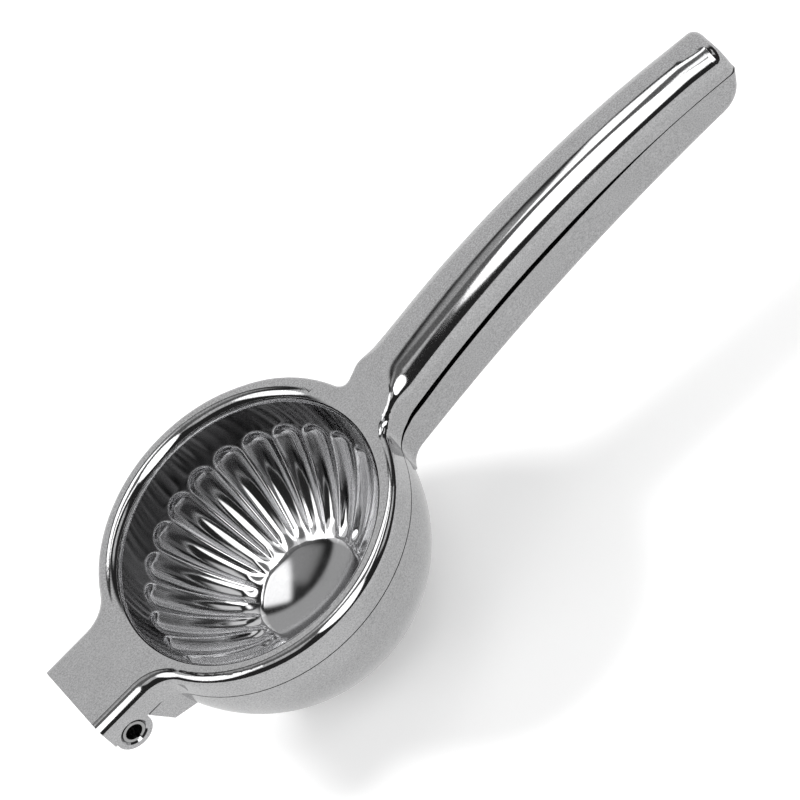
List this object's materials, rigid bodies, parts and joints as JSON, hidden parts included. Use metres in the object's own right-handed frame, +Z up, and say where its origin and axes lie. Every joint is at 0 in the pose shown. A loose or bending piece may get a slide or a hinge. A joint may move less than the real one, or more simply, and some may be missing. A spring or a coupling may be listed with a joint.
{
  "type": "lemon squeezer",
  "caption": "Polished steel two-lever hand press: a fluted press bowl in a ringed upper arm closes into a round cup on a lower arm, hinged on a cross pin.",
  "frame": {"origin": "Centre of the cup's flat foot.", "axes": "+X runs along the handles to their tips, +Y across the tool along the hinge pin, +Z up through the cup."},
  "size_m": [0.217, 0.0816, 0.0562],
  "materials": {
    "cup_steel": "mirror-polished cast steel",
    "arm_steel": "mirror-polished cast steel",
    "bowl_steel": "mirror-polished cast steel",
    "pin_steel": "rolled spring steel"
  },
  "bodies": {
    "cup": {"cup_arm": "cup_steel", "hinge_pin": "pin_steel"},
    "press": {"press_arm": "arm_steel", "press_bowl": "bowl_steel"}
  },
  "joints": [
    {"name": "hinge", "type": "hinge", "parent": "cup", "child": "press", "pos_m": [-0.0525, 0, 0.0363], "axis": [0, -1, 0], "range_deg": [0, 110]}
  ]
}
